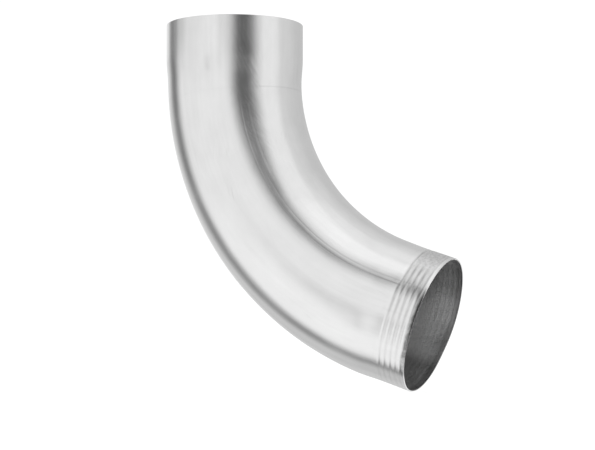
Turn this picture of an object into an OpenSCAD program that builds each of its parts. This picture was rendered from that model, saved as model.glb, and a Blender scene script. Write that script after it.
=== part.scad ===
// A bend for a round sheet-metal rainwater downpipe.
// The pipe above plugs into the socket, the widened end at the top. The spigot, the grooved end,
// plugs into the socket of the pipe below. Each of the three tube pieces is sheet rolled round and
// closed by a lengthwise seam weld, and two girth welds join the three end to end.
//
// Frame: the origin is the centre of the socket's mouth, +Z points up out of the socket, and the
// bend turns from straight down towards +X. All sizes are in millimetres.

/* [Tube] */
// Outside diameter of the bent tube
tube_d = 100; // [80:1:120]
// Thickness of the sheet
wall_t = 0.7; // [0.5:0.1:1]

/* [Bend] */
// Angle that the pipe's axis turns through
bend_angle = 72; // [40:1:85]
// Radius of the bend, to the tube's centreline
bend_r = 180; // [140:5:220]

/* [Socket end] */
// Straight length from the socket's mouth to the start of the bend
socket_len = 40.5; // [38:0.5:60]
// Depth of the widened bore, measured from the mouth
socket_depth = 28; // [20:1:30]
// How much wider than the tube the socket is, on the radius
socket_swell = 1.2; // [0.8:0.1:1.6]
// How far round the bend the socket piece reaches, in degrees
socket_reach = 4.3; // [3:0.1:6]
// How much wider than the tube the socket piece still is where it meets the bend, on the radius
neck_swell = 0.2; // [0:0.1:0.4]

/* [Spigot end] */
// Straight length from the end of the bend to the spigot's mouth
spigot_len = 34; // [34:1:50]
// How much narrower than the tube the spigot is, on the radius
spigot_shrink = 0.55; // [0.3:0.05:0.8]
// Number of grooves rolled into the spigot
groove_count = 5; // [3:1:5]
// Distance from one groove to the next
groove_pitch = 4.05; // [3.5:0.05:4.2]
// Width of one groove
groove_w = 3; // [2.4:0.2:3.2]
// Depth of one groove
groove_depth = 0.25; // [0.1:0.05:0.5]
// Plain length left before the first groove
groove_land = 2; // [0.5:0.1:3]
// Outside radius of the turned-in edge, seen in section
lip_r = 2.6; // [2:0.1:4.5]
// Angle that the edge turns in by
lip_angle = 38; // [20:1:45]

/* [Welds] */
// Position of the seam round the tube, in degrees from the outside of the bend
seam_at = 120.75; // [90:0.25:150]
// Width of the lengthwise seam weld
seam_w = 3.2; // [2:0.2:5]
// Height of the seam weld's crown above the bent tube
seam_crown = 0.12; // [0.05:0.01:0.3]
// Width of the girth welds
girth_w = 1.2; // [0.8:0.1:2]

/* [Hidden] */
$fn = 180;

tube_r = tube_d / 2;
bore_r = tube_r - wall_t;
seam_half = asin(seam_w / 2 / tube_r);
girth_angle = girth_w / bend_r * 180 / PI;
neck_angle = socket_reach - girth_angle / 2;
tube_angle = bend_angle - socket_reach - girth_angle / 2;
land_r = tube_r - spigot_shrink;
lip_start = spigot_len - lip_r * sin(lip_angle);
weld_end = lip_start - groove_land - groove_w - (groove_count - 1) * groove_pitch;
tail_len = weld_end - girth_w;
groove_first = weld_end + groove_land + groove_w / 2;
groove_steps = 8;
lip_steps = 8;

// ---- Frames along the pipe ----

// Puts a piece on the pipe's axis at an angle round the bend: its +Z follows the flow, its +X
// points to the outside of the bend and its +Y is the part's own +Y.
module at_bend(angle) {
    translate([bend_r, 0, -socket_len]) rotate([-90, 0, 180])
        rotate([0, 0, angle]) translate([bend_r, 0, 0]) rotate([-90, 0, 0]) children();
}

// Sweeps a section round the bend from the frame's own plane, with the flow for a positive angle
// and against it for a negative one.
module sweep(angle) {
    translate([-bend_r, 0, 0]) rotate([angle > 0 ? 90 : -90, 0, 0])
        rotate_extrude(angle = abs(angle)) translate([bend_r, 0])
            mirror([0, angle > 0 ? 1 : 0]) children();
}

// ---- Sections across the tube, seen from the spigot: +X is the outside of the bend ----

// The slice of pie that the seam takes, wide enough to cut any section here.
module seam_pie() {
    reach = 2 * tube_r;
    rotate(-seam_at) polygon([[0, 0],
                              [reach * cos(seam_half), -reach * sin(seam_half)],
                              [reach * cos(seam_half), reach * sin(seam_half)]]);
}

// The same slice as a solid that runs the whole length of either straight end.
module seam_wedge() {
    reach = socket_len + spigot_len;
    translate([0, 0, -reach]) linear_extrude(2 * reach) seam_pie();
}

// The whole ring of a tube wall.
module ring_section(outer_r, inner_r) {
    difference() {
        circle(r = outer_r);
        circle(r = inner_r);
    }
}

// A tube wall that is left open where its seam weld goes.
module open_section(outer_r, inner_r) {
    difference() {
        ring_section(outer_r, inner_r);
        seam_pie();
    }
}

// A seam weld dressed flush with its wall.
module flush_section(outer_r, inner_r) {
    intersection() {
        ring_section(outer_r, inner_r);
        seam_pie();
    }
}

// A seam weld left with its crown, an arc that meets the wall at both edges.
module crowned_section(outer_r, inner_r, crown) {
    top_r = outer_r + crown;
    arc_x = (top_r * top_r - outer_r * outer_r) / (2 * (top_r - outer_r * cos(seam_half)));
    difference() {
        intersection() {
            rotate(-seam_at) translate([arc_x, 0]) circle(r = top_r - arc_x);
            seam_pie();
        }
        circle(r = inner_r);
    }
}

// ---- Walls of the straight ends ----

// Points of a wall's section, [radius, distance along the axis], from its outer line: the inner
// line is the same line moved in by the sheet's thickness.
function wall(outer) =
    concat(outer, [for (i = [len(outer) - 1:-1:0]) outer[i] - [wall_t, 0]]);

function socket_wall() = wall([
    [tube_r + socket_swell, -socket_len],
    [tube_r + socket_swell, socket_depth - socket_len],
    [tube_r + neck_swell, 0]
]);

function tail_wall() = wall([[tube_r, 0], [tube_r, tail_len]]);

// Outer line of one rolled groove, a raised cosine.
function groove_line(middle) = [
    for (i = [0:groove_steps])
        let (t = i / groove_steps)
        [land_r - groove_depth * (1 - cos(360 * t)) / 2, middle + groove_w * (t - 0.5)]
];

// Outer line of the spigot up to the turned-in edge, which the last groove runs into.
function spigot_line() = concat(
    [[land_r, weld_end]],
    [for (g = [0:groove_count - 1]) each groove_line(groove_first + g * groove_pitch)]
);

// One side of the turned-in edge past its start, an arc drawn at a given radius about the edge's
// own centre.
function lip_line(radius) = [
    for (i = [1:lip_steps])
        let (a = lip_angle * i / lip_steps)
        [land_r - lip_r + radius * cos(a), lip_start + radius * sin(a)]
];

function reversed(list) = [for (i = [len(list) - 1:-1:0]) list[i]];

function spigot_wall() = concat(
    spigot_line(),
    lip_line(lip_r),
    reversed(lip_line(lip_r - wall_t)),
    reversed([for (p = spigot_line()) p - [wall_t, 0]])
);

// Turns a wall about the pipe's axis and leaves it open where its seam weld goes.
module open_turn(points) {
    difference() {
        rotate_extrude() polygon(points);
        seam_wedge();
    }
}

// The seam weld's own part of a turned wall.
module seam_turn(points) {
    intersection() {
        rotate_extrude() polygon(points);
        seam_wedge();
    }
}

// ---- Sub-parts ----

// Widened end: a straight bore, a long cone down to the tube, and the first degrees of the bend.
module socket_end() {
    color("silver") at_bend(0) {
        open_turn(socket_wall());
        sweep(neck_angle) open_section(tube_r + neck_swell, bore_r + neck_swell);
    }
}

// The bent tube with its short straight tail.
module bend_tube() {
    color("silver") at_bend(bend_angle) {
        open_turn(tail_wall());
        sweep(-tube_angle) open_section(tube_r, bore_r);
    }
}

// Grooved end with its turned-in edge.
module spigot_end() {
    color("silver") at_bend(bend_angle) open_turn(spigot_wall());
}

// Lengthwise seam of the socket piece, dressed flush.
module socket_seam_weld() {
    color("gainsboro") at_bend(0) {
        seam_turn(socket_wall());
        sweep(neck_angle) flush_section(tube_r + neck_swell, bore_r + neck_swell);
    }
}

// Lengthwise seam of the bent tube: a low crown round the bend, dressed flush on the tail.
module bend_seam_weld() {
    color("gainsboro") at_bend(bend_angle) {
        seam_turn(tail_wall());
        sweep(-tube_angle) crowned_section(tube_r, bore_r, seam_crown);
    }
}

// Lengthwise seam of the spigot, dressed flush and rolled into its grooves.
module spigot_seam_weld() {
    color("gainsboro") at_bend(bend_angle) seam_turn(spigot_wall());
}

// Ring of weld between the socket piece and the bent tube.
module socket_girth_weld() {
    color("gainsboro") at_bend(neck_angle)
        sweep(girth_angle) ring_section(tube_r + neck_swell, bore_r);
}

// Ring of weld between the bent tube's tail and the spigot.
module spigot_girth_weld() {
    color("gainsboro") at_bend(bend_angle)
        rotate_extrude() translate([land_r - wall_t, tail_len]) square([wall_t + spigot_shrink, girth_w]);
}

socket_end();
bend_tube();
spigot_end();
socket_seam_weld();
bend_seam_weld();
spigot_seam_weld();
socket_girth_weld();
spigot_girth_weld();
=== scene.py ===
"""The looks of a sheet-metal downpipe bend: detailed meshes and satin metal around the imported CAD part."""

import bpy
import math
import numpy as np
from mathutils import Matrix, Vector


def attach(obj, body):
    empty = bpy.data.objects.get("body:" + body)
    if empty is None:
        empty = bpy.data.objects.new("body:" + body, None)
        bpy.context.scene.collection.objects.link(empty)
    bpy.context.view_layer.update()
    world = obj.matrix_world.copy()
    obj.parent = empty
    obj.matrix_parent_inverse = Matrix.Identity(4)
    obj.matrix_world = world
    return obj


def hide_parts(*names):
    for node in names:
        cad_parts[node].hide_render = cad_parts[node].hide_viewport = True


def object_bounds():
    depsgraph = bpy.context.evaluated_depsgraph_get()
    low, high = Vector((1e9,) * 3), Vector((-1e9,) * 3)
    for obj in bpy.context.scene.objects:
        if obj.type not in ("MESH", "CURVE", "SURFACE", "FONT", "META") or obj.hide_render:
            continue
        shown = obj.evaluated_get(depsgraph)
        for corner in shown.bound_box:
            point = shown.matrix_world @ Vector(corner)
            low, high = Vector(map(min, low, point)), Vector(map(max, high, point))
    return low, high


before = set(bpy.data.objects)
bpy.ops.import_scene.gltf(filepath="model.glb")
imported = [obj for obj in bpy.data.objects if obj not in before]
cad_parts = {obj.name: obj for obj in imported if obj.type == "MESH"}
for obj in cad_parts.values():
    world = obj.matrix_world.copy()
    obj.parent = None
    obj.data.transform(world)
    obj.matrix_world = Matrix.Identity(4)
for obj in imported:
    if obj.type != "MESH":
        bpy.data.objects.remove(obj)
cad_low, cad_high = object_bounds()

MM = 0.001
TURN = 2 * math.pi

# ---- The part's driving sizes, as in the CAD model ----

TUBE_R = 50 * MM
WALL = 0.7 * MM
BEND_R = 180 * MM
BEND_ANGLE = math.radians(72)
SOCKET_LEN = 40.5 * MM
SOCKET_DEPTH = 28 * MM
SOCKET_SWELL = 1.2 * MM
NECK_SWELL = 0.2 * MM
SOCKET_REACH = math.radians(4.3)
SPIGOT_LEN = 34 * MM
SPIGOT_SHRINK = 0.55 * MM
GROOVE_COUNT = 5
GROOVE_PITCH = 4.05 * MM
GROOVE_W = 3 * MM
GROOVE_DEPTH = 0.25 * MM
GROOVE_LAND = 2 * MM
LIP_R = 2.6 * MM
LIP_ANGLE = math.radians(38)
SEAM_AT = -math.radians(120.75)
SEAM_W = 3.2 * MM
GIRTH_W = 1.2 * MM

# Distances along the pipe's axis from the socket's mouth
BEND_LEN = BEND_R * BEND_ANGLE
BEND_END = SOCKET_LEN + BEND_LEN
PIPE_END = BEND_END + SPIGOT_LEN
NECK_END = SOCKET_LEN + BEND_R * SOCKET_REACH - GIRTH_W / 2
TUBE_START = NECK_END + GIRTH_W
LIP_START = PIPE_END - LIP_R * math.sin(LIP_ANGLE)
SPIGOT_START = LIP_START - GROOVE_LAND - GROOVE_W - (GROOVE_COUNT - 1) * GROOVE_PITCH
TUBE_END = SPIGOT_START - GIRTH_W
GROOVE_FIRST = SPIGOT_START + GROOVE_LAND + GROOVE_W / 2
LAND_R = TUBE_R - SPIGOT_SHRINK
SEAM_HALF = math.asin(SEAM_W / 2 / TUBE_R)

# ---- The camera and the pale floor ----

CAMERA_AT = Vector((462.5, -935.5, -185.0)) * MM
CAMERA_AZIMUTH = math.radians(23.72)
CAMERA_ELEVATION = math.radians(-1.95)
CAMERA_LENS = 84.24
SENSOR = 36.0
FLOOR_DROP = 0.3 * MM
FLOOR_SIDE = 12.0
FLOOR_TONES = (0.33, 0.37)
FLOOR_GLOW = 0.86          # the floor lights itself, so that no edge of it shows
PAPER = 1.05               # brightness of the backdrop that the camera sees
SOFTBOX_ABOVE = Vector((0.1, 0.0, 1.3))
SOFTBOX_SIDE = 1.2
SOFTBOX_WATTS = 0.5

# ---- Fineness of the meshes ----

ROW = 1.6 * MM
CONE_ROW = 0.8 * MM
GROOVE_ROW = 0.26 * MM
RING_ROW = 0.12 * MM
COLUMN = math.radians(1.5)
RING_COLUMNS = 240
SHARP = math.radians(40)           # corners over this angle are shaded sharp

# ---- Handwork that the CAD model leaves out ----

RIM = 0.22 * MM                    # rounding of the sheet's cut edges
UNDERCUT = 0.015 * MM              # depth of the line along each edge of the seam weld
UNDERCUT_W = 0.45 * MM
SEAM_FROM = (58 * MM, 78 * MM)     # along here the seam's edges come into sight
SEAM_LOST = 0.6                    # share of them that is rolled flat on the spigot
SEAM_ROLLED = 8 * MM               # length of the spigot that this takes
SEAM_CREST = 0.03 * MM             # how high the seam weld's crown shows once it is dressed
CREST_FROM = (60 * MM, 90 * MM)
CREST_TO = (BEND_END - 20 * MM, BEND_END)
RIPPLE = 0.9 * MM                  # the weld's ripples repeat at this length times a whole turn in radians
RIPPLE_SHARE = 0.15                # share of the crown that they take up
CONE_EASE = 2.5 * MM               # rounding at both corners of the socket's cone
NECK_STEP = 0.015 * MM             # what is left of the neck's swell at its weld
NECK_DRAW = 3 * MM                 # how far before the bend the neck starts to come down to it
TAPER = 17 * MM                    # length over which the tube draws down to the spigot
WAVE = 0.05 * MM                   # how far the formed sheet dips between its high places
GROOVE_SHOW = 0.72                 # share of the grooves' depth that the sheet takes up
GROOVE_UNEVEN = 0.1                # how much that varies round the tube
GROOVE_WANDER = 0.12 * MM          # how far a groove strays along the pipe
GROOVE_INSIDE = 0.25               # share of the grooves that shows on the inner face
GROOVE_LOST = 0.93                 # share that is gone on the dressed place, except for the first groove
DENT = 0.9 * MM                    # the knock in the spigot's edge
DENT_AT = math.radians(-93)
DENT_HALF = math.radians(24)
DENT_START = PIPE_END - 4.2 * MM
FLAT_START = PIPE_END - 11 * MM
# Where the mouth has gone out of round: place, width and depth
FLAT_SPOTS = (
    (math.radians(62), math.radians(17), 1.3 * MM),
    (math.radians(128), math.radians(30), 0.65 * MM),
)
PATCH_AT = math.radians(-171)      # the dressed place on the inside of the bend, where the grooves fade
PATCH_HALF = math.radians(27)
PATCH_SOFT = math.radians(9)

# ---- The metal: tone and roughness, how far each pattern sways its shade, and the height of its relief ----

SHEET_TONE, SHEET_ROUGH = 0.85, 0.20
WELD_TONE, WELD_ROUGH = 0.84, 0.21
INSIDE_TONE, INSIDE_ROUGH = 0.86, 0.46
STREAK_SHADE = 0.06
CLOUD_SHADE = 0.12
GRAIN_SHADE = 0.03
SCRATCH_SHADE = 0.10
SPECKLE_SHADE = 0.22
CLOUD_ROUGH = 0.10
STREAK_ROUGH = 0.06
FINE_RELIEF = 0.0032 * MM
BROAD_RELIEF = 0.006 * MM
CLOUD_RELIEF = 0.05 * MM
GRAIN_RELIEF = 0.0012 * MM
SCRATCH_RELIEF = 0.004 * MM
PATCH_RELIEF = 0.05 * MM
CROSSED_RELIEF = 0.012 * MM

# ---- Marks on the metal, with painted shade, dark reflections and highlights ----
# Round the tube they are in degrees from the outside of the bend, and along the pipe in millimetres from
# the socket's mouth. Four numbers are where a mark starts, where it is full, how far, and where it ends.
# A share is how much darker the mark makes the metal, or brighter below zero.

PATCH_SHARE = 0.30
PATCH_ROUGH = 0.16
GROOVE_DARK_PAST = 0.4                    # how far past each groove's middle its dark film and painted shade lie
# the grooves' film and painted shade grow stronger away from the outside of the bend
GROOVE_DARK_ROUND = (60, 125)
GROOVE_DARK_SHARES = (0.12, 0.40)
# painted shade: a darker reflection across the spigot's grooves beside the seam
SPIGOT_SHADE_ROUND = (-146, -136, -119, -108)
SPIGOT_SHADE_SHARE = 0.26
# painted shade beside the dark reflected band on the socket: places round the tube and how much darker
BAND_SHOULDER_SHADES = (((-75, -66, -60, -56), 0.17), ((-98, -84, -60, -56), 0.08), ((-116, -110, -105, -99), 0.11))
BAND_SHOULDER_GONE = (8, 52)
# a painted dark reflection on the spigot's lip, and its weaker tail
DARK_LIP_ROUND = (-122, -112, -66, -56)
DARK_LIP_TAIL_ROUND = (-72, -64, -49, -40)
DARK_LIP_TAIL = 0.6                       # how strong the painted dark reflection is there
DARK_LIP_SHARE = 0.72
# the seam's dark lines are partly painted shadow of its edges and partly dirt
SEAM_LINE_FROM = (80, 170)
SEAM_LINE_SHARE = 0.25
FAR_LINE = 0.35                    # how strong the line is along the seam's far edge
RING_ROUND = (118, 136)
RING_SHARE = 0.045
SEAM_HIGHLIGHT_AT = -125.7                 # a painted highlight line beside the seam
SEAM_HIGHLIGHT_ALONG = (65, 71, 120, 150)
SEAM_HIGHLIGHT_SHARE = -0.20
CROSSED_ROUND = (-141, -132, -119, -113)
CROSSED_ALONG = (2, 14, 95, 130)
CROSSED_SHARE = 0.42
CROSSED_TURN = math.radians(-28)
SCRATCH_TURN = math.radians(17)
INSIDE_SHADE_ROUND = (42, 62)              # painted shade: the inner face is darker at the outside of the bend, up to here
INSIDE_SHADE_LEVELS = (0.47, 1.08)
FADE_ROUND = (106, 150)            # and painted shade darkens it again towards the inside of the bend
FADE_LEVELS = (1.0, 0.80)
# painted shade towards the mouth, then a painted lit patch inside the spigot
MOUTH_SHARE = 0.34
LIT_PATCH_ROUND = (84, 97, 103, 113)
LIT_PATCH_SHARE = -0.80

# ---- The light tent ----
# Azimuth runs in degrees from the -Y side towards +X, elevation from the horizon. Four numbers are where
# a place starts, where it is full, how far, and where it ends. A fade is the height it starts at, the one
# it ends at, and its factors there.

TENT_WALL = 0.92                   # brightness of the walls towards the camera's side
BACK = (101, 107, 198, 226)        # the back wall, with azimuth counted from -30 to 330
BACK_RUN = (104, 165)
BACK_LEVELS = (0.74, 0.60)
LEFT = (250, 275, 300, 330)
LEFT_DARKER = 0.03
ROOF_RUN = (30, 66)
ROOF_LEVELS = (0.93, 0.78)         # above the walls, and above the back wall
GROUND_RUN = (-2, -22)
GROUND_LEVEL = 1.02
SHADE_ROUND = (190, 205, 222, 245)     # a shaded corner of the ground
SHADE_LEVEL = 0.66
SLOT_LEAN_FROM = 20                # the camera's slot leans away above this height
SLOT_LEAN = 0.034                  # by this, times the square of the degrees above it
SLOT_RUN = (10, 30)                # between these heights its start and its full edge move
SLOT_START = (10.5, 6)
SLOT_FULL = (33, 36)
SLOT_FAR = (46, 77)
SLOT_FADES = ((-4, 8, 0.79, 0.88), (12, 30, 1.0, 0.83), (38, 72, 1.0, 0.12), (-50, -20, 0.3, 1.0))
POST_RUN = (4, 11)                 # the same for the post
POST_START = (-125, -128)
POST_FULL = (-100, -106)
POST_FAR = (-98, -78)
POST_FADES = ((-10, 4, 0.65, 0.73), (25, 55, 1.0, 0.0))
SHELF = (-143, -124, -100, -86)
SHELF_FADES = ((4, 11, 0.25, 0.0),)
# Duller places: across in azimuth, up in elevation, and how much darker
DULLER = (
    ((-150, -140, -124, -114), (-100, -90, -48, -40), 0.08),
    ((-124, -116, -76, -66), (-100, -90, -56, -50), 0.15),
    ((-24, -8, -4, 12), (44, 60, 64, 80), 0.22),
)
# A grey strip that leans with its height
STRIP_LEAN = 0.4
STRIP = (-26.5, -21, -18, -14)
STRIP_HIGH = (-36, -24, -3, 5)
STRIP_DARKER = 0.28


def smooth(x, start, end):
    """0 before start and 1 after end, with a smooth run between; start may be the larger."""
    t = np.clip((x - start) / (end - start), 0, 1)
    return t * t * (3 - 2 * t)


def apart(q, centre):
    """The angle between two places round the tube, never over half a turn."""
    return np.abs((q - centre + math.pi) % TURN - math.pi)


def place(s, r, q):
    """The point s along the pipe's axis, r out from it and q round it from the outside of the bend."""
    turn = np.clip((s - SOCKET_LEN) / BEND_R, 0, BEND_ANGLE)
    straight = np.minimum(s - SOCKET_LEN, 0) + np.maximum(s - BEND_END, 0)
    reach = BEND_R + r * np.cos(q)
    return np.stack((BEND_R - np.cos(turn) * reach + np.sin(turn) * straight,
                     r * np.sin(q),
                     -SOCKET_LEN - np.sin(turn) * reach - np.cos(turn) * straight), -1)


# ---- Relief of the sheet: how far each place lies from its plain round surface ----

def waves(s, q):
    """The slow dents of a bend drawn from thin sheet, always inward."""
    a = np.sin(3 * q + s / (31 * MM) + 0.6) * np.sin(s / (23 * MM) - 2 * q)
    b = np.sin(5 * q - s / (17 * MM) + 2.1)
    c = np.sin(2 * q + s / (11 * MM))
    return -WAVE * (0.5 + 0.25 * a + 0.15 * b + 0.1 * c)


def patch(q):
    """1 on the dressed place inside the bend, 0 away from it."""
    return 1 - smooth(apart(q, PATCH_AT), PATCH_HALF - PATCH_SOFT, PATCH_HALF + PATCH_SOFT)


def grooves(s, q):
    """The rolled grooves, each with its own slight wander and depth."""
    depth = np.zeros(np.broadcast(s, q).shape)
    for i in range(GROOVE_COUNT):
        wander = GROOVE_WANDER * (np.sin(2 * q + 1.7 * i) + 0.5 * np.sin(5 * q - i))
        t = (s - GROOVE_FIRST - i * GROOVE_PITCH - wander) / (GROOVE_W / 2)
        fade = 1 - (0.0 if i == 0 else GROOVE_LOST) * patch(q)
        strength = GROOVE_SHOW * fade * (1 + GROOVE_UNEVEN * np.sin(3 * q + 2.3 * i))
        depth = depth + strength * GROOVE_DEPTH * (1 + np.cos(math.pi * np.clip(t, -1, 1))) / 2
    return -depth


def ridges(s, q):
    """The same grooves seen from inside, where they stand up less."""
    return GROOVE_INSIDE * grooves(s, q)


def dent(s, q):
    """The place where the spigot's edge has been knocked further in."""
    return -DENT * np.exp(-(apart(q, DENT_AT) / DENT_HALF) ** 4) * smooth(s, DENT_START, PIPE_END)


def flats(s, q):
    """Where the spigot's mouth has gone slightly out of round."""
    depth = sum(d * np.exp(-(apart(q, at) / half) ** 2) for at, half, d in FLAT_SPOTS)
    return -depth * smooth(s, FLAT_START, PIPE_END)


def seam_show(s):
    """How clearly the seam shows: dressed away on the socket and rolled flat at the spigot."""
    return smooth(s, *SEAM_FROM) * (1 - SEAM_LOST * smooth(s, SPIGOT_START, SPIGOT_START + SEAM_ROLLED))


def undercut(s, q):
    """The fine line along each edge of the seam weld."""
    off = (apart(q, SEAM_AT) - SEAM_HALF) * TUBE_R
    return -UNDERCUT * seam_show(s) * np.exp(-(off / UNDERCUT_W) ** 2)


def crown(s, q):
    """The seam weld's low crown round the bend."""
    across = np.clip(apart(q, SEAM_AT) / SEAM_HALF, 0, 1)
    ripple = 1 - RIPPLE_SHARE + RIPPLE_SHARE * np.sin(s / RIPPLE)
    return SEAM_CREST * ripple * (1 - across ** 2) * smooth(s, *CREST_FROM) * (1 - smooth(s, *CREST_TO))


# ---- The sheet's middle line in section: distance along, radius, and the way it faces ----

def rim_taper(from_end):
    """Half the sheet's thickness, rounded off towards a cut edge."""
    d = np.clip(RIM - from_end, 0, RIM)
    return WALL / 2 - RIM + np.sqrt(np.maximum(RIM ** 2 - d ** 2, 0))


RIM_STEPS = [RIM * (1 - math.cos(math.radians(a))) for a in (0, 22, 40, 56, 72, 90)]


def steps(start, end, size):
    """Even steps no longer than size."""
    return np.linspace(start, end, max(2, math.ceil((end - start) / size) + 1))


def plain_line(s, outer_r, half=None):
    """A middle line whose outer radius is given at each distance along the axis."""
    half = np.full_like(s, WALL / 2) if half is None else half
    return np.stack((s, outer_r - WALL / 2, np.zeros_like(s), np.ones_like(s), half), -1)


def socket_radius(s):
    """Outer radius of the socket piece: a straight bore, then a cone eased at both of its corners."""
    ease = np.linspace(-CONE_EASE, CONE_EASE, 11)
    t = np.clip((s[:, None] + ease - SOCKET_DEPTH) / (SOCKET_LEN - SOCKET_DEPTH), 0, 1)
    neck = (NECK_SWELL - NECK_STEP) * smooth(s, SOCKET_LEN - NECK_DRAW, NECK_END)
    return TUBE_R + SOCKET_SWELL + (NECK_SWELL - SOCKET_SWELL) * t.mean(1) - neck


def tube_radius(s):
    """Outer radius of the tube: even, then drawn down slowly to the spigot's lands."""
    return TUBE_R - SPIGOT_SHRINK * smooth(s, SPIGOT_START - TAPER, SPIGOT_START)


def socket_line():
    s = np.concatenate((RIM_STEPS, steps(1 * MM, 24 * MM, ROW), steps(25 * MM, NECK_END, CONE_ROW)))
    return plain_line(s, socket_radius(s), rim_taper(s))


def tube_line():
    s = steps(TUBE_START, TUBE_END, ROW)
    return plain_line(s, tube_radius(s))


def socket_girth_line():
    """From what is left of the neck's swell down to the tube."""
    s = steps(NECK_END, TUBE_START, RING_ROW)
    return plain_line(s, TUBE_R + NECK_STEP * (1 - smooth(s, NECK_END, TUBE_START)))


def spigot_girth_line():
    """The ring between the tube and the spigot, level with the drawn-down tube."""
    s = steps(TUBE_END, SPIGOT_START, RING_ROW)
    return plain_line(s, tube_radius(s))


def spigot_line():
    s = steps(SPIGOT_START, LIP_START, GROOVE_ROW)[:-1]
    straight = plain_line(s, np.full_like(s, LAND_R))
    length = LIP_R * LIP_ANGLE
    from_end = np.concatenate((np.linspace(length, 2 * RIM, 9), np.array(RIM_STEPS)[::-1]))
    turn = (length - from_end) / LIP_R
    mid_r = LIP_R - WALL / 2
    lip = np.stack((LIP_START + mid_r * np.sin(turn), LAND_R - LIP_R + mid_r * np.cos(turn),
                    np.sin(turn), np.cos(turn), rim_taper(from_end)), -1)
    return np.concatenate((straight, lip))


# ---- Columns round the tube ----

def sheet_columns():
    """Right round the tube from one edge of the seam to the other, finest beside it."""
    fine = np.array([0, 0.15, 0.3, 0.5, 0.75, 1.1, 1.6, 2.4]) * MM / TUBE_R
    near, far = SEAM_AT + SEAM_HALF, SEAM_AT + TURN - SEAM_HALF
    even = steps(near + 1.5 * fine[-1], far - 1.5 * fine[-1], COLUMN)
    return np.concatenate((near + fine, even, far - fine[::-1]))


def seam_columns():
    half = np.array([0, 0.15, 0.3, 0.5, 0.8, 1.2, 1.6]) / 1.6
    half = 1 - half
    return SEAM_AT + SEAM_HALF * np.concatenate((-half, half[-2::-1]))


def ring_columns():
    return np.linspace(SEAM_AT, SEAM_AT + TURN, RING_COLUMNS + 1)[:-1]


# ---- Meshes ----

def wall_piece(name, line, q, outside, inside, reliefs, closed=False):
    """A shell of sheet: its outer and inner faces follow the line, and its edges are closed."""
    s_mid, r_mid, n_s, n_r, half = (line[:, [k]] for k in range(5))
    rows = {}
    for side, sign in (("outer", 1), ("inner", -1)):
        s = s_mid + sign * half * n_s
        r = r_mid + sign * half * n_r + sum(add(s, q[None, :]) for add in reliefs[side])
        rows[side] = (np.broadcast_to(s, r.shape), r)
    s = np.concatenate((rows["outer"][0], rows["inner"][0][::-1]))
    r = np.concatenate((rows["outer"][1], rows["inner"][1][::-1]))
    points = place(s, r, q[None, :])
    n, m = s.shape
    ahead = np.append(q, q[0] + TURN) if closed else q
    i, j = np.meshgrid(np.arange(n), np.arange(len(ahead) - 1), indexing="ij")
    i, j = i.ravel(), j.ravel()
    i2, j2 = (i + 1) % n, j + 1
    faces = np.stack((i * m + j, i * m + j2 % m, i2 * m + j2 % m, i2 * m + j), -1)
    u = np.stack((ahead[j], ahead[j2], ahead[j2], ahead[j]), -1) * TUBE_R
    v = np.stack((s[i, j], s[i, j2 % m], s[i2, j2 % m], s[i2, j]), -1)
    inner = (i >= n // 2) & (i < n - 1)
    if not closed:
        k = np.arange(n // 2 - 1)
        for column, order in ((0, (0, 1, 2, 3)), (m - 1, (3, 2, 1, 0))):
            cap = np.stack((k, k + 1, n - 2 - k, n - 1 - k), -1)[:, order]
            faces = np.concatenate((faces, cap * m + column))
            u = np.concatenate((u, np.full(cap.shape, q[column] * TUBE_R)))
            v = np.concatenate((v, s[cap, column]))
            inner = np.concatenate((inner, np.zeros(len(k), bool)))
    mesh = bpy.data.meshes.new(name)
    mesh.from_pydata(points.reshape(-1, 3).tolist(), [], faces.tolist())
    mesh.materials.append(outside)
    mesh.materials.append(inside)
    mesh.polygons.foreach_set("material_index", inner.astype(np.int32))
    mesh.uv_layers.new(name=FLOW).data.foreach_set("uv", np.stack((u, v), -1).astype(np.float32).ravel())
    mesh.update()
    mesh.shade_smooth()
    mesh.set_sharp_from_angle(angle=SHARP)
    piece = bpy.data.objects.new(name, mesh)
    bpy.context.scene.collection.objects.link(piece)
    return piece


# ---- Materials ----

FLOW = "Flow"


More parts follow.
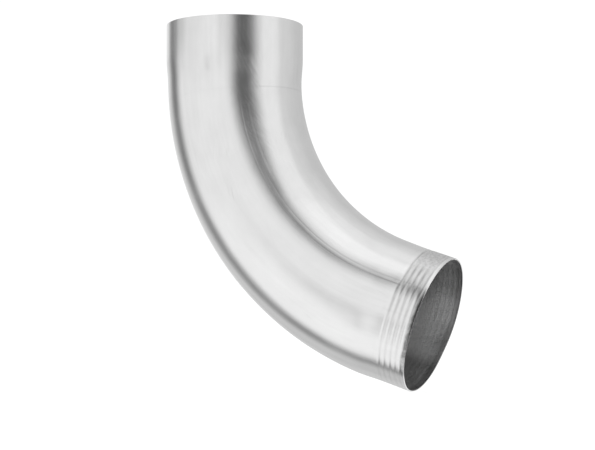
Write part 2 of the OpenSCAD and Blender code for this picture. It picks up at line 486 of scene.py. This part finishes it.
class Graph:
    """Short calls for building one node tree."""

    def __init__(self, tree):
        self.tree = tree
        tree.nodes.clear()

    def add(self, kind, out=0, settings=None, **inputs):
        """A node with its inputs set or linked by name; the result is one of its outputs."""
        node = self.tree.nodes.new(kind)
        for name, value in (settings or {}).items():
            setattr(node, name, value)
        for name, value in inputs.items():
            key = int(name[1:]) if name[0] == "i" and name[1:].isdigit() else name.replace("_", " ")
            self.put(node, key, value)
        return node.outputs[out]

    def put(self, node, key, value):
        if isinstance(value, bpy.types.NodeSocket):
            self.tree.links.new(value, node.inputs[key])
        else:
            node.inputs[key].default_value = value

    def math(self, operation, a, b=0.0):
        return self.add("ShaderNodeMath", settings={"operation": operation}, i0=a, i1=b)

    def ramp(self, value, start, end, low=0.0, high=1.0):
        """low before start and high after end, smooth between."""
        return self.add("ShaderNodeMapRange", settings={"interpolation_type": "SMOOTHSTEP"},
                        Value=value, From_Min=start, From_Max=end, To_Min=low, To_Max=high)

    def window(self, value, a, b, c, d):
        """0 outside a to d and 1 between b and c, with smooth edges."""
        return self.math("MULTIPLY", self.ramp(value, a, b), self.ramp(value, c, d, 1.0, 0.0))

    def mix(self, share, a, b):
        return self.add("ShaderNodeMix", settings={"data_type": "FLOAT"}, i0=share, i2=a, i3=b)

    def noise(self, vector, detail, roughness, across, along):
        """Noise with its features sized in the same unit as the vector."""
        scale = self.add("ShaderNodeVectorMath", settings={"operation": "MULTIPLY"},
                         i0=vector, i1=(1 / across, 1 / along, 1.0))
        return self.add("ShaderNodeTexNoise", settings={"noise_dimensions": "2D"}, Vector=scale, Scale=1.0,
                        Detail=detail, Roughness=roughness)

    def bump(self, height, distance, normal=None):
        inputs = {"Height": height, "Distance": distance, "Strength": 1.0}
        if normal is not None:
            inputs["Normal"] = normal
        return self.add("ShaderNodeBump", **inputs)


def arc(degrees):
    """Millimetres round the tube for an angle, the unit of the metal's own map."""
    return math.radians(degrees) * TUBE_R / MM


def less(g, shade, share, amount):
    """The shade, darker by the amount where share is 1."""
    return g.math("MULTIPLY", shade, g.math("SUBTRACT", 1.0, g.math("MULTIPLY", share, amount)))


def about_one(g, value, amount):
    """Noise turned into a factor that swings about 1."""
    return g.math("ADD", g.math("MULTIPLY", g.math("SUBTRACT", value, 0.5), amount), 1.0)


def from_outside(g, across):
    """The distance round the tube, made to run both ways from the outside of the bend."""
    return g.math("SUBTRACT", across, g.math("MULTIPLY", g.math("GREATER_THAN", across, arc(180)), arc(360)))


def round_window(g, round_, span):
    """A window round the tube, given in degrees."""
    return g.window(round_, *(arc(degrees) for degrees in span))


def round_ramp(g, round_, span, low=0.0, high=1.0):
    """A ramp round the tube, given in degrees."""
    return g.ramp(round_, arc(span[0]), arc(span[1]), low, high)


def close_to(g, value, centre, full, end):
    """1 within full of the centre and 0 beyond end."""
    return g.ramp(g.math("ABSOLUTE", g.math("SUBTRACT", value, centre)), full, end, 1.0, 0.0)


def groove_film_and_shade(g, round_, along, dressed):
    """Darkening in each groove, weakest at the outside of the bend: partly a dark film, partly painted shade
    of the recess.
    """
    wave = g.math("COSINE", g.math("MULTIPLY", g.math("SUBTRACT", along, GROOVE_FIRST / MM + GROOVE_DARK_PAST),
                                   TURN / GROOVE_PITCH * MM))
    film_and_shade = g.math("POWER", g.math("ADD", g.math("MULTIPLY", wave, 0.5), 0.5), 1.5)
    start, lip = SPIGOT_START / MM, LIP_START / MM
    film_and_shade = g.math("MULTIPLY", film_and_shade, g.window(along, start + 1.5, start + 3, lip - 1.5, lip))
    film_and_shade = g.math("MULTIPLY", film_and_shade, g.math("SUBTRACT", 1.0, dressed))
    return g.math("MULTIPLY", film_and_shade, round_ramp(g, g.math("ABSOLUTE", round_), GROOVE_DARK_ROUND, *GROOVE_DARK_SHARES))


def outside_marks_and_shade(g, mm, across, along, shade):
    """What working the metal left on its outer face, with painted shade, painted dark reflections and a
    painted highlight.

    Gives the shade with all of it, the share and the spots of the dressed place, and the crossing marks.
    """
    round_ = from_outside(g, across)
    patchy = g.noise(mm, 2.0, 0.5, across=14.0, along=3.0)
    uneven = g.ramp(patchy, 0.3, 0.7, 0.6, 1.0)
    spot = g.noise(mm, 4.0, 0.65, across=2.6, along=2.1)
    first, start, lip = GROOVE_FIRST / MM, SPIGOT_START / MM, LIP_START / MM

    # the dressed place
    dressed = close_to(g, across, (PATCH_AT + TURN) * TUBE_R / MM, (PATCH_HALF - PATCH_SOFT) * TUBE_R / MM,
                       (PATCH_HALF + PATCH_SOFT) * TUBE_R / MM)
    dressed = g.math("MULTIPLY", dressed, g.window(along, first + 0.6, first + 2, lip - 3, lip))
    shade = less(g, shade, g.math("MULTIPLY", dressed, g.ramp(spot, 0.35, 0.65, 0.35, 1.0)), PATCH_SHARE)

    # darkening in the grooves, partly film and partly painted shade, and painted shade across them beside
    # the seam
    shade = less(g, shade, groove_film_and_shade(g, round_, along, dressed), uneven)
    # painted shade standing in for a darker reflection on the spigot
    spigot_shade = g.math("MULTIPLY", round_window(g, round_, SPIGOT_SHADE_ROUND),
                    g.window(along, start + 2, start + 6, lip - 2, lip + 1))
    shade = less(g, shade, g.math("MULTIPLY", spigot_shade, uneven), SPIGOT_SHADE_SHARE)

    # painted shade that widens the dark reflected band on the socket, fading away along it
    band_shoulder_shade = 0.0
    for span, share in BAND_SHOULDER_SHADES:
        band_shoulder_shade = g.math("ADD", g.math("MULTIPLY", round_window(g, round_, span), share), band_shoulder_shade)
    shade = less(g, shade, band_shoulder_shade, g.ramp(along, *BAND_SHOULDER_GONE, 1.0, 0.0))

    # a painted dark reflection on the knocked edge of the spigot
    dark_lip = g.math("MAXIMUM", round_window(g, round_, DARK_LIP_ROUND),
                  g.math("MULTIPLY", round_window(g, round_, DARK_LIP_TAIL_ROUND), DARK_LIP_TAIL))
    dark_lip = g.math("MULTIPLY", dark_lip, g.ramp(g.math("ADD", along, g.math("MULTIPLY", patchy, 1.6)),
                                           lip - 1.4, lip + 0.4))
    shade = less(g, shade, g.math("MULTIPLY", dark_lip, g.ramp(spot, 0.3, 0.6, 0.75, 1.0)), DARK_LIP_SHARE)

    # dark lines along the two edges of the seam weld: painted shadow of the undercut, with some dirt in the
    # line
    near_line = close_to(g, across, (SEAM_AT + SEAM_HALF) * TUBE_R / MM - 0.45, 0.15, 0.95)
    far_line = close_to(g, round_, (SEAM_AT - SEAM_HALF) * TUBE_R / MM + 0.1, 0.1, 0.7)
    line = g.math("MAXIMUM", near_line, g.math("MULTIPLY", far_line, FAR_LINE))
    line = g.math("MULTIPLY", line, g.window(along, *SEAM_LINE_FROM, start, start + 6))
    shade = less(g, shade, line, SEAM_LINE_SHARE)

    # the faint ring between the socket piece and the bend, polished away on the outside of the bend
    ring = g.window(along, NECK_END / MM - 0.4, NECK_END / MM + 0.2, TUBE_START / MM, TUBE_START / MM + 0.5)
    ring = g.math("MULTIPLY", ring, round_ramp(g, g.math("ABSOLUTE", round_), RING_ROUND))
    shade = less(g, shade, ring, RING_SHARE)

    # a painted highlight line beside the seam, and the brush marks that cross the dressed seam
    ground = g.math("MULTIPLY", close_to(g, round_, arc(SEAM_HIGHLIGHT_AT), 0.3, 1.1),
                    g.window(along, *SEAM_HIGHLIGHT_ALONG))
    shade = less(g, shade, ground, SEAM_HIGHLIGHT_SHARE)
    turned = g.add("ShaderNodeMapping", Vector=mm, Rotation=(0.0, 0.0, CROSSED_TURN))
    brushed = g.math("SUBTRACT", g.noise(turned, 3.0, 0.6, across=0.9, along=17.0), 0.5)
    crossed = g.math("MULTIPLY", round_window(g, round_, CROSSED_ROUND), g.window(along, *CROSSED_ALONG))
    crossed = g.math("MULTIPLY", crossed, brushed)
    return less(g, shade, crossed, CROSSED_SHARE), dressed, spot, crossed


def inside_marks_and_shade(g, mm, across, along, shade):
    """The inner face's painted light and shade: darker at the outside of the bend and at the mouth, with a
    painted lit patch; and its own speckles.
    """
    round_ = g.math("ABSOLUTE", from_outside(g, across))
    lip = LIP_START / MM
    shade = g.math("MULTIPLY", shade, round_ramp(g, round_, INSIDE_SHADE_ROUND, *INSIDE_SHADE_LEVELS))
    shade = g.math("MULTIPLY", shade, round_ramp(g, round_, FADE_ROUND, *FADE_LEVELS))
    shade = less(g, shade, g.ramp(along, lip - 5, lip - 1), MOUTH_SHARE)
    speckle = g.noise(mm, 4.0, 0.65, across=2.2, along=2.2)
    shade = g.math("MULTIPLY", shade, about_one(g, speckle, SPECKLE_SHADE))
    lit_patch = g.math("MULTIPLY", round_window(g, round_, LIT_PATCH_ROUND),
                    g.window(along, lip - 22, lip - 13, lip - 7, lip))
    brushed = g.ramp(g.noise(mm, 3.0, 0.6, across=9.0, along=0.8), 0.25, 0.7, 0.45, 1.0)
    return less(g, shade, g.math("MULTIPLY", lit_patch, brushed), LIT_PATCH_SHARE)


def satin_metal(name, tone, roughness, streaks=1.0, scratches=1.0, outside=True):
    """Drawn sheet: streaks along the pipe, slow cloudy blotches and a few scratches."""
    material = bpy.data.materials.new(name)
    material.use_nodes = True
    g = Graph(material.node_tree)
    flow = g.add("ShaderNodeUVMap", settings={"uv_map": FLOW})
    mm = g.add("ShaderNodeVectorMath", settings={"operation": "SCALE"}, i0=flow, Scale=1 / MM)
    parts = g.tree.nodes.new("ShaderNodeSeparateXYZ")
    g.put(parts, 0, mm)
    across, along = parts.outputs[0], parts.outputs[1]

    fine = g.noise(mm, 4.0, 0.6, across=0.55, along=38.0)
    broad = g.noise(mm, 3.0, 0.5, across=3.2, along=120.0)
    cloud = g.noise(mm, 3.0, 0.55, across=16.0, along=26.0)
    grain = g.noise(mm, 2.0, 0.5, across=0.35, along=1.6)
    slanted = g.add("ShaderNodeMapping", Vector=mm, Rotation=(0.0, 0.0, SCRATCH_TURN))
    marks = g.noise(slanted, 2.0, 0.5, across=0.5, along=16.0)
    where = g.noise(mm, 1.0, 0.5, across=19.0, along=24.0)
    scratch = g.math("MULTIPLY", g.ramp(marks, 0.66, 0.74), g.ramp(where, 0.5, 0.66))

    shade = g.math("MULTIPLY", about_one(g, fine, STREAK_SHADE * streaks),
                   about_one(g, broad, STREAK_SHADE * streaks))
    shade = g.math("MULTIPLY", shade, g.math("MULTIPLY", about_one(g, cloud, CLOUD_SHADE),
                                             about_one(g, grain, GRAIN_SHADE)))
    shade = less(g, shade, scratch, SCRATCH_SHADE * scratches)
    rough = g.math("ADD", g.math("MULTIPLY", g.math("SUBTRACT", cloud, 0.5), CLOUD_ROUGH), roughness)
    rough = g.math("ADD", rough, g.math("MULTIPLY", g.math("SUBTRACT", fine, 0.5), STREAK_ROUGH * streaks))
    normal = g.bump(fine, FINE_RELIEF * streaks)
    normal = g.bump(broad, BROAD_RELIEF * streaks, normal)
    normal = g.bump(cloud, CLOUD_RELIEF, normal)
    normal = g.bump(grain, GRAIN_RELIEF, normal)
    normal = g.bump(g.math("SUBTRACT", 1.0, scratch), SCRATCH_RELIEF * scratches, normal)
    if outside:
        shade, dressed, spot, crossed = outside_marks_and_shade(g, mm, across, along, shade)
        rough = g.math("ADD", rough, g.math("MULTIPLY", dressed, PATCH_ROUGH))
        normal = g.bump(g.math("MULTIPLY", dressed, spot), PATCH_RELIEF, normal)
        normal = g.bump(crossed, CROSSED_RELIEF, normal)
    else:
        shade = inside_marks_and_shade(g, mm, across, along, shade)

    grey = g.math("MULTIPLY", shade, tone)
    colour = g.add("ShaderNodeCombineColor", Red=grey, Green=grey, Blue=grey)
    shader = g.tree.nodes.new("ShaderNodeBsdfPrincipled")
    shader.inputs["Metallic"].default_value = 1.0
    for key, value in (("Base Color", colour), ("Roughness", rough), ("Normal", normal)):
        g.put(shader, key, value)
    output = g.tree.nodes.new("ShaderNodeOutputMaterial")
    g.put(output, "Surface", shader.outputs[0])
    return material


sheet_metal = satin_metal("satin_sheet", SHEET_TONE, SHEET_ROUGH)
weld_metal = satin_metal("dressed_weld", WELD_TONE, WELD_ROUGH, streaks=1.3, scratches=1.6)
inside_metal = satin_metal("dull_inside", INSIDE_TONE, INSIDE_ROUGH, streaks=0.6, outside=False)

# ---- The eight pieces ----

SHEET = sheet_columns()
SEAM = seam_columns()
RING = ring_columns()
SPIGOT_OUT = [waves, undercut, grooves, dent, flats]
SPIGOT_IN = [waves, ridges, dent, flats]
PIECES = {
    "socket_end": (socket_line, SHEET, sheet_metal, "sheet", [waves, undercut], [waves], False),
    "bend_tube": (tube_line, SHEET, sheet_metal, "sheet", [waves, undercut], [waves], False),
    "spigot_end": (spigot_line, SHEET, sheet_metal, "sheet", SPIGOT_OUT, SPIGOT_IN, False),
    "socket_seam_weld": (socket_line, SEAM, weld_metal, "weld", [waves, undercut], [waves], False),
    "bend_seam_weld": (tube_line, SEAM, weld_metal, "weld", [waves, undercut, crown], [waves], False),
    "spigot_seam_weld": (spigot_line, SEAM, weld_metal, "weld", SPIGOT_OUT, SPIGOT_IN, False),
    "socket_girth_weld": (socket_girth_line, RING, weld_metal, "weld", [waves], [waves], True),
    "spigot_girth_weld": (spigot_girth_line, RING, weld_metal, "weld", [waves], [waves], True),
}
for node, (line, columns, metal, slot, outer, inner, closed) in PIECES.items():
    piece = wall_piece(node + "_look", line(), columns, metal, inside_metal,
                       {"outer": outer, "inner": inner}, closed)
    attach(piece, "root")
    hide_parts(node)


# ---- Floor ----

def pale_floor():
    material = bpy.data.materials.new("pale_floor")
    material.use_nodes = True
    g = Graph(material.node_tree)
    spot = g.add("ShaderNodeTexCoord", out="Object")
    speck = g.add("ShaderNodeTexNoise", Vector=spot, Scale=90.0, Detail=3.0)
    tone = g.ramp(speck, 0.3, 0.7, *FLOOR_TONES)
    shader = g.tree.nodes.new("ShaderNodeBsdfPrincipled")
    g.put(shader, "Base Color", g.add("ShaderNodeCombineColor", Red=tone, Green=tone, Blue=tone))
    shader.inputs["Roughness"].default_value = 0.9
    shader.inputs["Specular IOR Level"].default_value = 0.0
    shader.inputs["Emission Color"].default_value = (1.0, 1.0, 1.0, 1.0)
    shader.inputs["Emission Strength"].default_value = FLOOR_GLOW
    output = g.tree.nodes.new("ShaderNodeOutputMaterial")
    g.put(output, "Surface", shader.outputs[0])
    mesh = bpy.data.meshes.new("floor")
    half = FLOOR_SIDE / 2
    corners = [(-half, -half, 0), (half, -half, 0), (half, half, 0), (-half, half, 0)]
    mesh.from_pydata(corners, [], [(0, 1, 2, 3)])
    mesh.materials.append(material)
    floor = bpy.data.objects.new("floor", mesh)
    floor.location = (0, 0, cad_low[2] - FLOOR_DROP)
    floor.visible_glossy = False
    bpy.context.scene.collection.objects.link(floor)


pale_floor()


# ---- Light ----

def faded(g, share, elevation, fades):
    """The share, made weaker at some heights."""
    for fade in fades:
        share = g.math("MULTIPLY", share, g.ramp(elevation, *fade))
    return share


def studio_world():
    """A light tent seen by direction: bright all round, with a dark slot for the camera and a dark post."""
    world = bpy.data.worlds.new("studio_tent")
    world.use_nodes = True
    bpy.context.scene.world = world
    g = Graph(world.node_tree)
    direction = g.add("ShaderNodeTexCoord", out="Generated")
    split = g.tree.nodes.new("ShaderNodeSeparateXYZ")
    g.put(split, 0, direction)
    x, y, z = split.outputs
    degrees = 180 / math.pi
    azimuth = g.math("MULTIPLY", g.math("ARCTAN2", x, g.math("MULTIPLY", y, -1.0)), degrees)
    elevation = g.math("MULTIPLY", g.math("ARCSINE", z), degrees)
    # the same angle counted from -30 to 330, so that the back has no break in it
    round_ = g.math("ADD", azimuth, g.math("MULTIPLY", g.math("LESS_THAN", azimuth, -30.0), 360.0))

    # walls, roof and ground: bright towards the camera's side, greyer at the back
    back = g.window(round_, *BACK)
    level = g.mix(back, TENT_WALL, g.ramp(round_, *BACK_RUN, *BACK_LEVELS))
    level = g.math("SUBTRACT", level, g.math("MULTIPLY", g.window(round_, *LEFT), LEFT_DARKER))
    level = g.mix(g.ramp(elevation, *ROOF_RUN), level, g.mix(back, *ROOF_LEVELS))
    ground = g.mix(g.window(round_, *SHADE_ROUND), GROUND_LEVEL, SHADE_LEVEL)
    level = g.mix(g.ramp(elevation, *GROUND_RUN), level, ground)

    # the camera's slot, which leans away as it rises
    lean = g.math("POWER", g.math("MAXIMUM", g.math("SUBTRACT", elevation, SLOT_LEAN_FROM), 0.0), 2.0)
    slot_at = g.math("ADD", azimuth, g.math("MULTIPLY", lean, SLOT_LEAN))
    slot = g.window(slot_at, g.ramp(elevation, *SLOT_RUN, *SLOT_START),
                    g.ramp(elevation, *SLOT_RUN, *SLOT_FULL), *SLOT_FAR)
    level = less(g, level, faded(g, slot, elevation, SLOT_FADES), 1.0)

    # the post on the left, and the shelf behind it
    post = g.window(azimuth, g.ramp(elevation, *POST_RUN, *POST_START),
                    g.ramp(elevation, *POST_RUN, *POST_FULL), *POST_FAR)
    level = less(g, level, faded(g, post, elevation, POST_FADES), 1.0)
    level = less(g, level, faded(g, g.window(azimuth, *SHELF), elevation, SHELF_FADES), 1.0)

    for wide, high, darker in DULLER:
        dull = g.math("MULTIPLY", g.window(azimuth, *wide), g.window(elevation, *high))
        level = less(g, level, dull, darker)
    strip = g.math("SUBTRACT", azimuth, g.math("MULTIPLY", elevation, STRIP_LEAN))
    strip = g.math("MULTIPLY", g.window(strip, *STRIP), g.window(elevation, *STRIP_HIGH))
    level = less(g, level, strip, STRIP_DARKER)

    tent = g.add("ShaderNodeBackground", Strength=level, Color=(1.0, 1.0, 1.0, 1.0))
    paper = g.add("ShaderNodeBackground", Strength=PAPER, Color=(1.0, 1.0, 1.0, 1.0))
    seen = g.add("ShaderNodeLightPath", out="Is Camera Ray")
    output = g.tree.nodes.new("ShaderNodeOutputWorld")
    g.put(output, "Surface", g.add("ShaderNodeMixShader", i0=seen, i1=tent, i2=paper))


def softbox(name, at, aim, side, watts):
    light = bpy.data.lights.new(name, "AREA")
    light.shape = "SQUARE"
    light.size = side
    light.energy = watts
    lamp = bpy.data.objects.new(name, light)
    lamp.location = at
    lamp.rotation_euler = (Vector(aim) - Vector(at)).to_track_quat("-Z", "Y").to_euler()
    bpy.context.scene.collection.objects.link(lamp)


studio_world()
middle = (Vector(cad_low) + Vector(cad_high)) / 2
softbox("top_softbox", middle + SOFTBOX_ABOVE, middle, SOFTBOX_SIDE, SOFTBOX_WATTS)

# ---- Camera ----

data = bpy.data.cameras.new("camera")
data.lens = CAMERA_LENS
data.sensor_width = SENSOR
camera = bpy.data.objects.new("camera", data)
camera.location = CAMERA_AT
view = Vector((-math.sin(CAMERA_AZIMUTH) * math.cos(CAMERA_ELEVATION),
               math.cos(CAMERA_AZIMUTH) * math.cos(CAMERA_ELEVATION), -math.sin(CAMERA_ELEVATION)))
camera.rotation_euler = view.to_track_quat("-Z", "Y").to_euler()
bpy.context.scene.collection.objects.link(camera)
bpy.context.scene.camera = camera
bpy.context.scene.view_settings.view_transform = "Standard"
